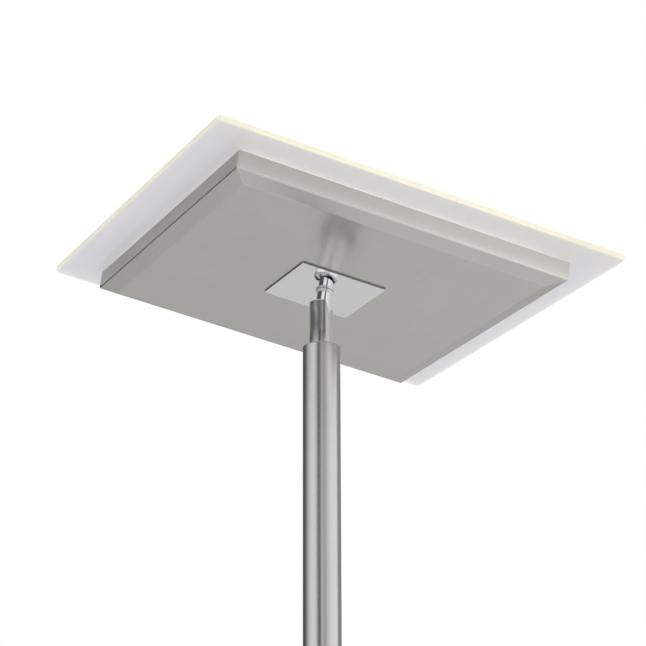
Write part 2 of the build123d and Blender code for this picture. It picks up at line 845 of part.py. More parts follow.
# ---------------------------------------------------------------- base
base_top = Plane(origin=(0, 0, base_height), x_dir=(1, 0, 0), z_dir=(0, 0, -1))
weight_side = base_side - 2 * weight_gap
corner_pitch = weight_side - 2 * corner_inset
gland_face = Plane(origin=(terminal_x, base_side / 2, gland_height), x_dir=(-1, 0, 0), z_dir=(0, 1, 0))

cover_pan = square_pan(
    base_top,
    base_side,
    base_bevel_in,
    base_bevel_rise,
    base_height - base_bevel_rise - cover_lift,
    base_sheet,
)
with BuildPart() as base_cover:
    add(cover_pan.part)
    with BuildSketch(base_top):
        Circle(stud_diameter / 2 + hole_gap)
    extrude(amount=base_sheet, mode=Mode.SUBTRACT)
    with BuildSketch(gland_face):
        Circle(gland_diameter / 2 + thread_gap)
    extrude(amount=-base_sheet, mode=Mode.SUBTRACT)
base_cover.part.label = "base_cover"
export_step(base_cover.part, "parts/base_cover.step")

with BuildPart() as base_weight:
    with BuildSketch(Plane.XY.offset(weight_underside)):
        RectangleRounded(weight_side, weight_side, weight_thickness / 2)
    extrude(amount=weight_thickness)
    with BuildSketch(Plane.XY.offset(weight_underside)):
        Circle(weight_boss / 2)
    extrude(amount=weight_top - weight_underside)
    with BuildSketch(Plane.XY.offset(plate_top)):
        with GridLocations(corner_pitch, corner_pitch, 2, 2):
            Circle(corner_boss / 2)
    extrude(amount=weight_underside - plate_top)
    with BuildSketch(Plane.XY.offset(weight_underside)):
        Circle(weight_recess / 2)
        with Locations((driver_x, 0)):
            Rectangle(driver_width + 2 * pocket_gap, driver_length + 2 * pocket_gap)
        with Locations((terminal_x, terminal_y)):
            Rectangle(terminal_width + 2 * pocket_gap, terminal_depth + 2 * pocket_gap)
    extrude(amount=recess_top - weight_underside, mode=Mode.SUBTRACT)
    with BuildSketch(Plane.XY.offset(recess_top)):
        Circle(stud_diameter / 2 + hole_gap)
        with Locations((driver_x, 0)):
            Rectangle(driver_width + 2 * pocket_gap, driver_length + 2 * pocket_gap)
    extrude(amount=weight_top - recess_top, mode=Mode.SUBTRACT)
    with BuildSketch(Plane.XY.offset(plate_top)):
        with GridLocations(corner_pitch, corner_pitch, 2, 2):
            Circle(base_screw / 2 + thread_gap)
    extrude(amount=weight_underside + weight_thickness / 2 - plate_top, mode=Mode.SUBTRACT)
base_weight.part.label = "base_weight"
export_step(base_weight.part, "parts/base_weight.step")

plate_side = base_side - 2 * base_sheet - 2 * plate_edge_gap
with BuildPart() as base_plate:
    with BuildSketch(Plane.XY.offset(felt_thickness)):
        Rectangle(plate_side, plate_side)
    extrude(amount=plate_thickness)
    with Locations(Plane(origin=(0, 0, felt_thickness), x_dir=(1, 0, 0), z_dir=(0, 0, -1))):
        with GridLocations(corner_pitch, corner_pitch, 2, 2):
            CounterSinkHole(
                base_screw / 2 + hole_gap,
                base_screw + hole_gap,
                plate_thickness,
                counter_sink_angle=90,
            )
base_plate.part.label = "base_plate"
export_step(base_plate.part, "parts/base_plate.step")

with BuildPart() as base_screws:
    with BuildSketch(Plane.XY.offset(felt_thickness)):
        with GridLocations(corner_pitch, corner_pitch, 2, 2):
            Circle(base_screw / 2)
    extrude(amount=weight_underside - felt_thickness)
    for spot in GridLocations(corner_pitch, corner_pitch, 2, 2):
        with Locations(spot * Location((0, 0, felt_thickness))):
            Cone(
                base_screw,
                base_screw / 2,
                base_screw / 2,
                align=(Align.CENTER, Align.CENTER, Align.MIN),
            )
base_screws.part.label = "base_screws"
export_step(base_screws.part, "parts/base_screws.step")

with BuildPart() as base_felt:
    with BuildSketch():
        RectangleRounded(plate_side - felt_inset, plate_side - felt_inset, felt_inset)
        with GridLocations(corner_pitch, corner_pitch, 2, 2):
            Circle(base_screw * 1.5, mode=Mode.SUBTRACT)
    extrude(amount=felt_thickness)
base_felt.part.label = "base_felt"
export_step(base_felt.part, "parts/base_felt.step")

base_stud = tube(
    Plane.XY.offset(stud_bottom),
    base_height + insert_height - stud_bottom,
    stud_diameter,
    stud_bore,
)
base_stud.part.label = "base_stud"
export_step(base_stud.part, "parts/base_stud.step")

base_washer = tube(
    Plane.XY.offset(recess_top - base_washer_thickness),
    base_washer_thickness,
    base_washer_diameter,
    stud_diameter + 2 * hole_gap,
)
base_washer.part.label = "base_washer"
export_step(base_washer.part, "parts/base_washer.step")

base_nut = hex_nut(
    Plane.XY.offset(nut_bottom),
    base_nut_height,
    stud_nut_flats,
    stud_diameter + 2 * thread_gap,
)
base_nut.part.label = "base_nut"
export_step(base_nut.part, "parts/base_nut.step")

# ---------------------------------------------------------------- cord inlet
with BuildPart() as cord_gland:
    with BuildSketch(gland_face):
        Circle(gland_flange / 2)
    extrude(amount=base_sheet)
    with BuildSketch(gland_face):
        Circle(gland_diameter / 2)
    extrude(amount=-gland_length)
    with BuildSketch(gland_face.offset(base_sheet)):
        Circle(gland_bore / 2)
    extrude(amount=-(gland_length + base_sheet), mode=Mode.SUBTRACT)
cord_gland.part.label = "cord_gland"
export_step(cord_gland.part, "parts/cord_gland.step")

gland_nut = hex_nut(
    gland_face.offset(-base_sheet - gland_nut_height),
    gland_nut_height,
    gland_nut_flats,
    gland_diameter + 2 * thread_gap,
)
gland_nut.part.label = "gland_nut"
export_step(gland_nut.part, "parts/gland_nut.step")

# ---------------------------------------------------------------- mains terminal block and its wires
with BuildPart() as mains_terminal:
    with BuildSketch(Plane.XY.offset(plate_top)):
        with Locations((terminal_x, terminal_y)):
            Rectangle(terminal_width, terminal_depth)
    extrude(amount=terminal_height)
    with BuildSketch(Plane.XY.offset(plate_top + terminal_height)):  # wells over the clamp screws
        with Locations((terminal_x, terminal_y)):
            with GridLocations(terminal_width / 2, wire_pitch, 2, 2):
                Circle(small_screw / 2)
    extrude(amount=-terminal_height / 3, mode=Mode.SUBTRACT)
mains_terminal.part.label = "mains_terminal"
export_step(mains_terminal.part, "parts/mains_terminal.step")

with BuildPart() as mains_wires:
    wire_start = terminal_x + terminal_width / 2
    with BuildSketch(Plane.YZ.offset(wire_start)):
        with Locations((terminal_y, lead_height)):
            with GridLocations(wire_pitch, 1, 2, 1):
                Circle(wire_diameter / 2)
    extrude(amount=board_near - wire_start)
mains_wires.part.label = "mains_wires"
export_step(mains_wires.part, "parts/mains_wires.step")

# ---------------------------------------------------------------- driver
driver_middle = (driver_x, 0)
with BuildPart() as driver_case:
    with BuildSketch(Plane.XY.offset(plate_top)):
        with Locations(driver_middle):
            Rectangle(driver_width, driver_length)
    extrude(amount=driver_split)
    offset(amount=-driver_wall, openings=driver_case.faces().sort_by(Axis.Z)[-1])
    with BuildSketch(Plane.XY.offset(plate_top + driver_wall)):
        with Locations(driver_middle):
            boss_x = driver_width - 2 * driver_boss_inset
            boss_y = driver_length - 2 * driver_boss_inset
            with GridLocations(boss_x, boss_y, 2, 2):
                Circle(driver_boss / 2)
    extrude(amount=driver_board_rise)
    with BuildSketch(Plane.YZ.offset(driver_x - driver_width / 2)):
        with Locations((0, lead_height)):
            Circle(lead_diameter / 2 + hole_gap)
        with Locations((terminal_y, lead_height)):
            with GridLocations(wire_pitch, 1, 2, 1):
                Circle(wire_diameter / 2 + hole_gap)
    extrude(amount=driver_wall, mode=Mode.SUBTRACT)
driver_case.part.label = "driver_case"
export_step(driver_case.part, "parts/driver_case.step")

with BuildPart() as driver_lid:
    with BuildSketch(Plane.XY.offset(plate_top + driver_split)):
        with Locations(driver_middle):
            Rectangle(driver_width, driver_length)
    extrude(amount=driver_height - driver_split)
    offset(amount=-driver_wall, openings=driver_lid.faces().sort_by(Axis.Z)[0])
driver_lid.part.label = "driver_lid"
export_step(driver_lid.part, "parts/driver_lid.step")

driver_inside = driver_width - 2 * driver_wall - 2 * hole_gap
with BuildPart() as driver_board:
    with BuildSketch(Plane.XY.offset(board_bottom)):
        with Locations(driver_middle):
            Rectangle(driver_inside, driver_length - 2 * driver_wall - 2 * hole_gap)
    extrude(amount=pcb_thickness)
driver_board.part.label = "driver_board"
export_step(driver_board.part, "parts/driver_board.step")

with BuildPart() as driver_transformer:
    with BuildSketch(Plane.XY.offset(board_bottom + pcb_thickness)):
        with Locations(driver_middle):
            Rectangle(transformer_side, transformer_side)
    extrude(amount=transformer_height)
driver_transformer.part.label = "driver_transformer"
export_step(driver_transformer.part, "parts/driver_transformer.step")

with BuildPart() as driver_capacitors:
    with BuildSketch(Plane.XY.offset(board_bottom + pcb_thickness)):
        with Locations(driver_middle):
            with GridLocations(driver_width / 2.5, driver_length / 1.6, 2, 2):
                Circle(capacitor_diameter / 2)
    extrude(amount=capacitor_height)
driver_capacitors.part.label = "driver_capacitors"
export_step(driver_capacitors.part, "parts/driver_capacitors.step")
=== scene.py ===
import json
import math

import bmesh
import bpy
from mathutils import Matrix, Vector


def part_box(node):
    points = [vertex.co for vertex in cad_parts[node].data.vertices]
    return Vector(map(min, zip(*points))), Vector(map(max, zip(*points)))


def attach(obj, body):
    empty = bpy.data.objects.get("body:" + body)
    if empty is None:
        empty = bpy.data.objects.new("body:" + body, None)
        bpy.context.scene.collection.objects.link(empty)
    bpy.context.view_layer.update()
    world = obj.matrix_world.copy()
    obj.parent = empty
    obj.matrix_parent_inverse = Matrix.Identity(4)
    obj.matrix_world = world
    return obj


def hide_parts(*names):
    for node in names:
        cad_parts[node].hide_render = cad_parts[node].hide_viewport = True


# Torchiere floor lamp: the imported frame, its outer pieces modelled in detail, and a finish for every piece
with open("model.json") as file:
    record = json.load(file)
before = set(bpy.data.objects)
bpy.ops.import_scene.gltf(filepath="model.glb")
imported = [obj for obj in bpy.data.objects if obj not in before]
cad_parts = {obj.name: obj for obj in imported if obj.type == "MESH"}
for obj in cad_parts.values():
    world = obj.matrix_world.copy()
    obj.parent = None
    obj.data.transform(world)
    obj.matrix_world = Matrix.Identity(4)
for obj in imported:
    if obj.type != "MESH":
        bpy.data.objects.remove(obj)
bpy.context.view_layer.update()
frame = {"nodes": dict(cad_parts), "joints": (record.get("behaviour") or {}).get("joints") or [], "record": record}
joints = {joint["name"]: joint for joint in frame["joints"]}
ball = Vector(joints["head_turn"]["pos_m"])
headNormal = Vector(joints["head_turn"]["axis"])
headTilt = math.atan2(headNormal.x, headNormal.z)
samePlace = 1e-6  # corners this close are one
nearby = 1e-5  # closer than any detail
print("frame loaded, head leans", round(math.degrees(headTilt), 2))


# selecting and editing

def selectOnly(piece):
    if bpy.context.object and bpy.context.object.mode != "OBJECT":
        bpy.ops.object.mode_set(mode="OBJECT")
    bpy.ops.object.select_all(action="DESELECT")
    if piece:
        piece.select_set(True)
        bpy.context.view_layer.objects.active = piece


def editMesh(piece):
    selectOnly(piece)
    bpy.ops.object.mode_set(mode="EDIT")


def pick(piece, kind, wanted):  # kind is VERT, EDGE or FACE, wanted(place, part) says which
    bpy.ops.mesh.select_mode(type=kind)
    bpy.ops.mesh.select_all(action="DESELECT")
    mesh = bmesh.from_edit_mesh(piece.data)
    mesh.normal_update()
    parts = {"VERT": mesh.verts, "EDGE": mesh.edges, "FACE": mesh.faces}[kind]
    for part in parts:
        corners = [part] if kind == "VERT" else list(part.verts)
        place = sum((corner.co for corner in corners), Vector()) / len(corners)
        if wanted(place, part):
            part.select_set(True)
    mesh.select_flush_mode()
    bmesh.update_edit_mesh(piece.data)


def bevelPicked(width, segments):
    bpy.ops.mesh.bevel(offset=width, offset_type="OFFSET", segments=segments, profile=0.5, affect="EDGES")


def useModifier(piece, kind, **settings):
    selectOnly(piece)
    modifier = piece.modifiers.new(kind.title(), kind)
    for key, value in settings.items():
        setattr(modifier, key, value)
    bpy.ops.object.modifier_apply(modifier=modifier.name)


def roundEdges(piece, width, segments=3, angle=30):
    useModifier(piece, "BEVEL", width=width, segments=segments, limit_method="ANGLE",
                angle_limit=math.radians(angle), use_clamp_overlap=True, harden_normals=False)


def roundEnds(piece, radius, ends, segments=4):  # only the outside of a tube, ends are pairs of height and width
    def onRim(corner):
        return abs(corner.co.z - height) < nearby and corner.co.xy.length > radius - nearby

    editMesh(piece)
    for height, width in ends:
        pick(piece, "EDGE", lambda place, part: all(onRim(corner) for corner in part.verts))
        bevelPicked(width, segments)


def smooth(piece, angle=35):  # large flat faces keep their own normals beside the small rounds
    selectOnly(piece)
    bpy.ops.object.shade_smooth_by_angle(angle=math.radians(angle))
    useModifier(piece, "WEIGHTED_NORMAL", keep_sharp=True, weight=50)


def fixNormals(piece):
    editMesh(piece)
    bpy.ops.mesh.select_all(action="SELECT")
    bpy.ops.mesh.remove_doubles(threshold=samePlace)
    bpy.ops.mesh.normals_make_consistent(inside=False)
    bpy.ops.object.mode_set(mode="OBJECT")


def mergeClose(piece):  # the slivers that a boolean leaves
    editMesh(piece)
    bpy.ops.mesh.select_all(action="SELECT")
    bpy.ops.mesh.remove_doubles(threshold=nearby)
    bpy.ops.mesh.dissolve_degenerate(threshold=nearby)
    bpy.ops.object.mode_set(mode="OBJECT")


def bakePlace(piece):  # leaves the object at the origin with its place in its mesh
    selectOnly(piece)
    bpy.ops.object.transform_apply(location=True, rotation=True, scale=True)


def putOnHead(piece):  # from upright about the world's origin to the leaning head
    piece.rotation_euler = (0, headTilt, 0)
    piece.location = ball
    bakePlace(piece)


def putOnDimmer(piece):  # what was modelled upright turns to face -Y at the dimmer's axis
    piece.rotation_euler = (math.radians(90), 0, 0)
    piece.location = joints["dimmer_turn"]["pos_m"]
    bakePlace(piece)


# ways of starting a piece

def addBlock(name, size, middle):
    selectOnly(None)
    bpy.ops.mesh.primitive_cube_add(size=1, location=middle, scale=size)
    piece = bpy.context.object
    piece.name = name
    bakePlace(piece)
    return piece


def addSlab(name, size, middle, corner, segments=6):  # a flat block with its upright corners rounded
    slab = addBlock(name, size, middle)
    editMesh(slab)
    pick(slab, "EDGE", lambda place, part: abs(place.z - middle[2]) < nearby)
    bevelPicked(corner, segments)
    bpy.ops.object.mode_set(mode="OBJECT")
    return slab


def addTurned(name, outline, steps=96):  # a closed outline of (radius, height) is drawn and spun about Z
    selectOnly(None)
    (firstRadius, firstHeight), rest = outline[0], outline[1:]
    bpy.ops.mesh.primitive_plane_add(size=0.001, location=(firstRadius, 0, firstHeight))
    piece = bpy.context.object
    piece.name = name
    bakePlace(piece)
    editMesh(piece)
    bpy.ops.mesh.select_mode(type="VERT")
    bpy.ops.mesh.select_all(action="SELECT")
    bpy.ops.mesh.merge(type="CENTER")
    before = outline[0]
    for point in rest:
        step = (point[0] - before[0], 0, point[1] - before[1])
        bpy.ops.mesh.extrude_vertices_move(TRANSFORM_OT_translate={"value": step})
        before = point
    bpy.ops.mesh.select_all(action="SELECT")
    bpy.ops.mesh.spin(steps=steps, angle=2 * math.pi, center=(0, 0, 0), axis=(0, 0, 1))
    fixNormals(piece)
    return piece


def addTube(name, bore, radius, low, high, steps=72):
    return addTurned(name, [(bore, low), (radius, low), (radius, high), (bore, high), (bore, low)], steps)


def fourCorners(side):  # of a square about the middle
    return [(x, y) for x in (-side / 2, side / 2) for y in (-side / 2, side / 2)]


def cutAway(piece, radius, low, high, at=(0, 0), move=None):  # a round cut along Z, or where move takes the drill
    drill = addTurned("drill", [(0, low), (radius, low), (radius, high), (0, high)], 64)
    drill.location = (*at, 0)
    if move:
        move(drill)
    useModifier(piece, "BOOLEAN", operation="DIFFERENCE", object=drill, solver="EXACT")
    bpy.data.objects.remove(drill)
    mergeClose(piece)


def weldOn(piece, radius, low, high, at):  # a round stud with a chamfered end becomes one with the piece
    chamfer = radius / 4
    outline = [(0, low), (radius, low), (radius, high - chamfer), (radius - chamfer, high), (0, high)]
    stud = addTurned("stud", outline, 32)
    stud.location = (*at, 0)
    useModifier(piece, "BOOLEAN", operation="UNION", object=stud, solver="EXACT")
    bpy.data.objects.remove(stud)
    mergeClose(piece)


def addPan(name, side, slopeIn, slopeRise, rim, sheet, fold, lip=0):
    # a square at z 0 whose edges go out and up as a slope, a rim and a lip, folded, then given the sheet's thickness
    selectOnly(None)
    inner = side - 2 * slopeIn
    bpy.ops.mesh.primitive_plane_add(size=inner)
    piece = bpy.context.object
    piece.name = name
    editMesh(piece)
    pick(piece, "EDGE", lambda place, part: True)
    bpy.ops.mesh.extrude_edges_move(TRANSFORM_OT_translate={"value": (0, 0, slopeRise)})
    bpy.ops.transform.resize(value=(side / inner, side / inner, 1), center_override=(0, 0, slopeRise))
    bpy.ops.mesh.extrude_edges_move(TRANSFORM_OT_translate={"value": (0, 0, rim)})
    if lip:
        bpy.ops.mesh.extrude_edges_move(TRANSFORM_OT_translate={"value": (0, 0, 0)})
        inside = (side - 2 * lip) / side
        bpy.ops.transform.resize(value=(inside, inside, 1), center_override=(0, 0, slopeRise + rim))
    bpy.ops.mesh.select_all(action="SELECT")
    bpy.ops.mesh.flip_normals()
    bpy.ops.object.mode_set(mode="OBJECT")
    useModifier(piece, "BEVEL", width=fold, segments=4, limit_method="ANGLE", angle_limit=math.radians(12))
    useModifier(piece, "SOLIDIFY", thickness=sheet, offset=-1, use_even_offset=True)
    return piece


# finishes: a wire is a socket that sums can be written on

class Wire:
    def __init__(self, finish, made, give):
        self.finish, self.made, self.socket = finish, made, made.outputs[give]

    def sum(self, operation, *values):
        return self.finish.node("Math", {"operation": operation}, dict(enumerate(values)))

    def __add__(self, other): return self.sum("ADD", self, other)
    def __radd__(self, other): return self.sum("ADD", other, self)
    def __sub__(self, other): return self.sum("SUBTRACT", self, other)
    def __rsub__(self, other): return self.sum("SUBTRACT", other, self)
    def __mul__(self, other): return self.sum("MULTIPLY", self, other)
    def __rmul__(self, other): return self.sum("MULTIPLY", other, self)
    def __truediv__(self, other): return self.sum("DIVIDE", self, other)
    def __abs__(self): return self.sum("ABSOLUTE", self)
    def atLeast(self, other): return self.sum("MAXIMUM", self, other)
    def power(self, other): return self.sum("POWER", self, other)
    def cosine(self): return self.sum("COSINE", self)
    def also(self, give): return Wire(self.finish, self.made, give)

    def between(self, low, high):  # 0 below low, 1 above high, eased
        return self.finish.node("MapRange", {"interpolation_type": "SMOOTHSTEP"},
                                {"Value": self, "From Min": low, "From Max": high, "To Min": 0.0, "To Max": 1.0})


class Finish:
    def __init__(self, owner):
        owner.use_nodes = True
        self.owner, self.tree = owner, owner.node_tree
        self.tree.nodes.clear()

    def node(self, kind, settings=None, sockets=None, give=0):
        made = self.tree.nodes.new("ShaderNode" + kind)
        for key, value in (settings or {}).items():
            if key == "stops":
                ramp = made.color_ramp.elements
                while len(ramp) < len(value):
                    ramp.new(0.5)
                for stop, (place, shade) in zip(ramp, value):
                    stop.position = place
                    stop.color = (shade, shade, shade, 1)
            else:
                setattr(made, key, value)
        for key, value in (sockets or {}).items():
            if isinstance(value, Wire):
                self.tree.links.new(value.socket, made.inputs[key])
            else:
                made.inputs[key].default_value = value
        return Wire(self, made, give)

    def place(self, onHead=False, stretch=(1, 1, 1)):  # object coordinates, turned to the head's own for what is on it
        here = self.node("TexCoord", give="Object")
        if onHead:
            level = Matrix.Rotation(-headTilt, 3, "Y")
            here = self.node("Mapping", None, {"Vector": here, "Rotation": (0, -headTilt, 0),
                                               "Location": -(level @ ball)})
        if stretch != (1, 1, 1):
            here = self.node("Mapping", None, {"Vector": here, "Scale": stretch})
        return here

    def headPlace(self):  # X on the head, and Y is also there
        return self.node("SeparateXYZ", None, {0: self.place(onHead=True)}, give="X")

    def noise(self, place, scale, detail=3.0, roughness=0.5):
        return self.node("TexNoise", None, {"Vector": place, "Scale": scale, "Detail": detail, "Roughness": roughness})

    def blend(self, share, one, other):
        return self.node("Mix", {"data_type": "RGBA"}, {0: share, 6: one, 7: other}, give=2)

    def bump(self, height, strength, distance=0.0002):
        return self.node("Bump", None, {"Height": height, "Strength": strength, "Distance": distance})

    def skin(self, sockets):
        return self.finishWith(self.node("BsdfPrincipled", None, sockets))

    def finishWith(self, shader, kind="Material"):
        out = self.tree.nodes.new("ShaderNodeOutput" + kind)
        self.tree.links.new(shader.socket, out.inputs["Surface"])
        return self.owner


def newFinish(name):
    return Finish(bpy.data.materials.new(name))


def rgb(shade, share=1):
    return (*(part * share for part in shade), 1)


def outFromMiddle(here):  # on a square, how far out towards its nearest side
    return abs(here).atLeast(abs(here.also("Y")))


def setFinish(piece, material):
    piece.data.materials.clear()
    piece.data.materials.append(material)
    for face in piece.data.polygons:
        face.material_index = 0


replaced = set()


def handOver(piece, body, material, slot, *nodes):
    setFinish(piece, material)
    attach(piece, body)
    if nodes:
        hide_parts(*nodes)
        replaced.update(nodes)


print("helpers ready")

# camera

camera = {"lens": 142.08, "sensor": 36, "nearest": 0.05, "fromBall": (-0.6899, -1.4488, -0.5721), "turn": -25.5,
          "rise": 19.38, "roll": -0.162}

bpy.ops.object.camera_add()
lampCamera = bpy.context.object
lampCamera.data.lens = camera["lens"]
lampCamera.data.sensor_width = camera["sensor"]
lampCamera.data.clip_start = camera["nearest"]
lampCamera.matrix_world = (Matrix.Translation(ball + Vector(camera["fromBall"]))
                           @ Matrix.Rotation(math.radians(camera["turn"]), 4, "Z")
                           @ Matrix.Rotation(math.radians(90 + camera["rise"]), 4, "X")
                           @ Matrix.Rotation(math.radians(camera["roll"]), 4, "Z"))
bpy.context.scene.camera = lampCamera
bpy.context.scene.view_settings.view_transform = "Standard"
print("camera set")

# studio: a white backdrop, a pale round floor that fades out, and bright and dark panels for the metal to mirror

studio = {
    "front": -25.5,
    "floor": 0.87,
    "floorRadius": 3.4,
    "fade": 1.4,
    "strongest": 2.0,
    # rings of panels from the ground up: where each begins and how softly, then degrees round from the front,
    # positive to its right, and brightness
    "rings": [
        (-1.0, 0.01, [(-180, 0.70), (-172, 0.64), (-164, 0.60), (-148, 0.58), (-120, 0.60), (-98, 0.90), (-76, 1.05),
                      (-54, 1.16), (-34, 1.16), (-12, 0.74), (28, 0.74), (44, 1.16), (62, 1.16), (84, 1.05),
                      (130, 1.0), (158, 0.70), (180, 0.70)]),
        (-0.43, 0.03, [(-180, 0.585), (-164, 0.56), (-148, 0.44), (-128, 0.30), (-112, 0.16), (-96, 0.09),
                       (-44, 0.10), (-34, 1.1), (6, 1.1), (12, 0.14), (28, 0.11), (38, 0.80), (76, 0.88),
                       (90, 0.70), (108, 0.50), (126, 0.36), (180, 0.585)]),
        (-0.26, 0.02, [(-180, 0.585), (-164, 0.56), (-148, 0.44), (-128, 0.30), (-112, 0.16), (-96, 0.09),
                       (-68, 0.09), (-57, 0.30), (-46, 0.12), (28, 0.11), (38, 0.80), (76, 0.88), (90, 0.70),
                       (108, 0.50), (126, 0.36), (180, 0.585)]),
        (-0.03, 0.05, [(-180, 0.40), (-160, 0.20), (-134, 0.10), (-116, 0.18), (-101, 0.46), (-85, 0.92),
                       (-66, 1.16), (-42, 1.19), (-29, 0.66), (-21, 0.14), (-11, 0.14), (-5, 0.80), (4, 0.90),
                       (13, 0.52), (22, 0.64), (34, 0.94), (60, 1.20), (99, 1.24), (110, 0.46), (124, 0.30),
                       (137, 0.34), (154, 0.48), (180, 0.40)]),
        (0.3215, 0.004, [(-180, 0.36), (-150, 0.12), (-68, 0.06), (-57, 0.20), (-46, 0.09), (28, 0.11), (40, 0.50),
                         (78, 0.52), (100, 0.44), (122, 0.34), (138, 0.24), (180, 0.36)]),
        (0.340, 0.010, [(-180, 0.36), (-150, 0.10), (-116, 0.14), (-85, 0.80), (-66, 1.1), (-42, 1.1), (-21, 0.20),
                        (13, 0.60), (40, 1.1), (60, 1.3), (99, 1.3), (112, 0.46), (180, 0.36)]),
        (0.50, 0.12, [(-180, 1.0), (180, 1.0)]),
    ],
}


def makeStudio(studio):
    sky = Finish(bpy.context.scene.world or bpy.data.worlds.new("studio"))
    bpy.context.scene.world = sky.owner
    way = sky.node("TexCoord", give="Generated")
    turn = math.radians(studio["front"])
    right, front = (math.cos(turn), math.sin(turn), 0), (math.sin(turn), -math.cos(turn), 0)
    across = sky.node("VectorMath", {"operation": "DOT_PRODUCT"}, {0: way, 1: right}, give="Value")
    toward = sky.node("VectorMath", {"operation": "DOT_PRODUCT"}, {0: way, 1: front}, give="Value")
    height = sky.node("SeparateXYZ", None, {0: way}, give="Z")
    around = across.sum("ARCTAN2", across, toward) / (2 * math.pi) + 0.5

    strongest, light = studio["strongest"], 0
    for start, width, stops in studio["rings"]:
        stops = [(0.5 + angle / 360, shine / strongest) for angle, shine in stops]
        share = height.between(start, start + width)
        light = sky.node("ValToRGB", {"stops": stops}, {"Fac": around}) * strongest * share + (1 - share) * light
    seen = sky.node("LightPath", give="Is Camera Ray")  # the camera itself sees plain white
    sky.finishWith(sky.node("Background", None, {"Color": light * (1 - seen) + seen}), "World")


def makeFloor(studio):
    selectOnly(None)
    bpy.ops.mesh.primitive_circle_add(vertices=96, radius=studio["floorRadius"], fill_type="NGON")
    floor = bpy.context.object
    floor.name = "floor"
    paper = newFinish("paleFloor")
    shade = studio["floor"]
    face = paper.node("BsdfDiffuse", None, {"Color": rgb((shade, shade, shade * 1.005))})
    far = paper.node("VectorMath", {"operation": "LENGTH"}, {0: paper.place()}, give="Value")
    gone = far.between(studio["floorRadius"] - studio["fade"], studio["floorRadius"])
    back = paper.node("NewGeometry", give="Backfacing")
    paper.finishWith(paper.node("MixShader", None, {0: gone.atLeast(back), 1: face, 2: paper.node("BsdfTransparent")}))
    setFinish(floor, paper.owner)


makeStudio(studio)
makeFloor(studio)
print("studio set")


# metals

nickel = {"shade": (0.56, 0.551, 0.526), "poleShade": (0.552, 0.547, 0.539), "dark": 0.90, "light": 1.09,
          "acrossSheet": (1500, 24, 60), "roundPole": (40, 40, 3200), "cloud": 22.0,
          # on the next line, the last two are the painted shade and the painted highlight of the head's rim, as shares
          # of its colour
          "rimStart": 0.1186, "rimBlur": 0.0002, "rimPaintedShade": 0.74, "rimPaintedHighlight": (1.12, 1.35)}


def brushedNickel(name, stretch, onHead=False, shade=nickel["shade"], rough=0.25, rim=False):
    # the rim of the head gets painted light: a painted shade on its -X side and a painted highlight on its -Y side,
    # lighter towards +X
    metal = newFinish(name)
    lines = metal.noise(metal.place(onHead, stretch), 1.0, 4.0, 0.6)
    cloud = metal.noise(metal.place(onHead), nickel["cloud"], 2.0, 0.5)
    tint = metal.blend(lines * 0.5 + cloud * 0.5, rgb(shade, nickel["dark"]), rgb(shade, nickel["light"]))
    if rim:
        start = nickel["rimStart"]
        before = start - nickel["rimBlur"]
        here = metal.headPlace()
        # painted shade on the rim's -X side, then a painted highlight on its -Y side, brighter towards +X
        tint = metal.blend((0 - here).between(before, start), tint, rgb(shade, nickel["rimPaintedShade"]))
        bright = metal.blend(here.between(-start, start), *(rgb(shade, share) for share in nickel["rimPaintedHighlight"]))
        tint = metal.blend((0 - here.also("Y")).between(before, start), tint, bright)
    return metal.skin({"Base Color": tint, "Metallic": 1.0, "Roughness": lines * 0.10 + cloud * 0.08 + (rough - 0.09),
                       "Normal": metal.bump(lines, 0.10, 0.00005)})


# the third colour is a painted shade for a plate's edge faces, and the two values after it say where it begins and how
# softly
chromium = {"dark": (0.79, 0.79, 0.80), "light": (0.83, 0.83, 0.838), "edgePaintedShade": (0.30, 0.295, 0.285),
            "edgeShadeStart": 0.0308, "edgeShadeBlur": 0.0001, "smear": 60.0, "ripple": 35.0}


def polishedChrome(name, onHead=False, paintEdgeShade=False):  # a square plate's edge faces get a painted shade, standing in for a dark reflection
    metal = newFinish(name)
    smear = metal.noise(metal.place(onHead), chromium["smear"], 3.0, 0.6)
    ripple = metal.noise(metal.place(onHead), chromium["ripple"], 1.0, 0.4)
    tint = metal.blend(smear, rgb(chromium["dark"]), rgb(chromium["light"]))
    if paintEdgeShade:
        start = chromium["edgeShadeStart"]
        # painted shade on the plate's edge faces, standing in for a dark reflection
        shadedEdge = outFromMiddle(metal.headPlace()).between(start - chromium["edgeShadeBlur"], start)
        tint = metal.blend(shadedEdge, tint, rgb(chromium["edgePaintedShade"]))
    return metal.skin({"Base Color": tint, "Metallic": 1.0, "Roughness": smear * 0.05 + 0.03,
                       "Normal": metal.bump(ripple, 0.03, 0.0002)})


poleNickel = brushedNickel("brushedNickelRound", nickel["roundPole"], shade=nickel["poleShade"], rough=0.22)
sheetNickel = brushedNickel("brushedNickelSheet", nickel["acrossSheet"], onHead=True, rough=0.22, rim=True)
coverNickel = brushedNickel("brushedNickelCover", nickel["acrossSheet"], rough=0.30)
chrome = polishedChrome("polishedChrome")
headChrome = polishedChrome("polishedChromeHead", onHead=True)
plateChrome = polishedChrome("polishedChromePlate", onHead=True, paintEdgeShade=True)
print("metals mixed")

# glass plate

glass = {"side": 0.290, "thickness": 0.004, "corner": 0.003, "arris": 0.0005, "underside": 0.0339,
         "tint": ((0.74, 0.735, 0.76), (0.78, 0.775, 0.795)), "edgeTint": (0.30, 0.29, 0.25),
         # where the glow changes, as distances out from the middle, and the edge's as distances in from the edge
         "overLight": (0.108, 0.1145), "seam": (0.1184, 0.1192), "warmSide": (0.110, 0.130), "nearEdge": 0.006,
         "edge": (0.0006, 0.0002),
         "glow": {"cool": (0.127, 0.126, 0.136), "warm": (0.124, 0.120, 0.110), "nearEdge": (0.19, 0.18, 0.16),
                  "seam": (0.17, 0.155, 0.11), "overLight": (0.95, 0.93, 0.88), "edge": (0.58, 0.56, 0.43)}}


